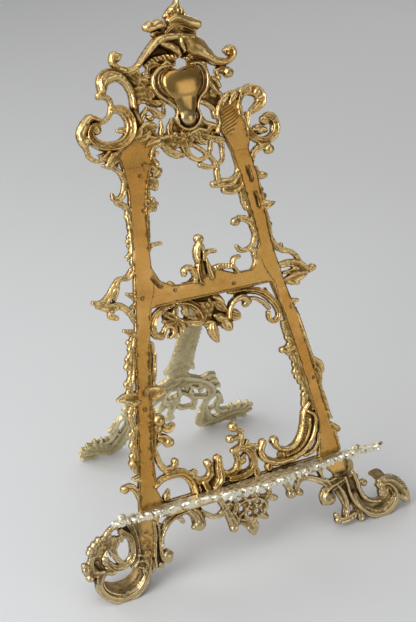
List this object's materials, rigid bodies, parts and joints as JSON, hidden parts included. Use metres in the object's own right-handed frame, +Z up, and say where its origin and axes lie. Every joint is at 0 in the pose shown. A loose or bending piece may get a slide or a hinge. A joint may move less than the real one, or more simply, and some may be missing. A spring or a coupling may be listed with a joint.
{
  "type": "folding display easel",
  "caption": "Folding tabletop easel in ornate pierced cast brass, with a serpentine shelf, scrolled feet and a hinged leaf-footed rear leg, for an open album, book or picture.",
  "frame": {"origin": "on the floor, under the middle of the standing easel's bounding box", "axes": "+Z up, +X to the right seen from the front, +Y to the rear, where the folding leg stands"},
  "size_m": [0.3088, 0.2094, 0.4332],
  "materials": {
    "frame_brass": "aged cast brass with hand-polished flat faces and brown patina in the recesses",
    "cartouche_brass": "polished domed brass, deeper and redder than the frame",
    "foot_brass": "darker patinated cast brass with rubbed high edges",
    "shelf_brass": "pale worn cast brass with a silvery rubbed edge",
    "leg_brass": "pale olive cast brass, as cast, unpolished",
    "hardware_brass": "dull turned brass screws, pin and bracket"
  },
  "bodies": {
    "front_frame": {"crest": "frame_brass", "cartouche": "cartouche_brass", "left_stile": "frame_brass", "right_stile": "frame_brass", "crossrail": "frame_brass", "lower_rail": "frame_brass", "apron": "foot_brass", "left_foot": "foot_brass", "right_foot": "foot_brass", "shelf": "shelf_brass", "shelf_screws": "hardware_brass", "hinge_bracket": "hardware_brass", "bracket_screws": "hardware_brass", "hinge_pin": "hardware_brass"},
    "leg": {"rear_leg": "leg_brass"}
  },
  "joints": [
    {"name": "leg_fold", "type": "hinge", "parent": "front_frame", "child": "leg", "pos_m": [-0.00543, -0.00557, 0.21544], "axis": [-1, 0, 0], "range_deg": [0, 44]}
  ]
}
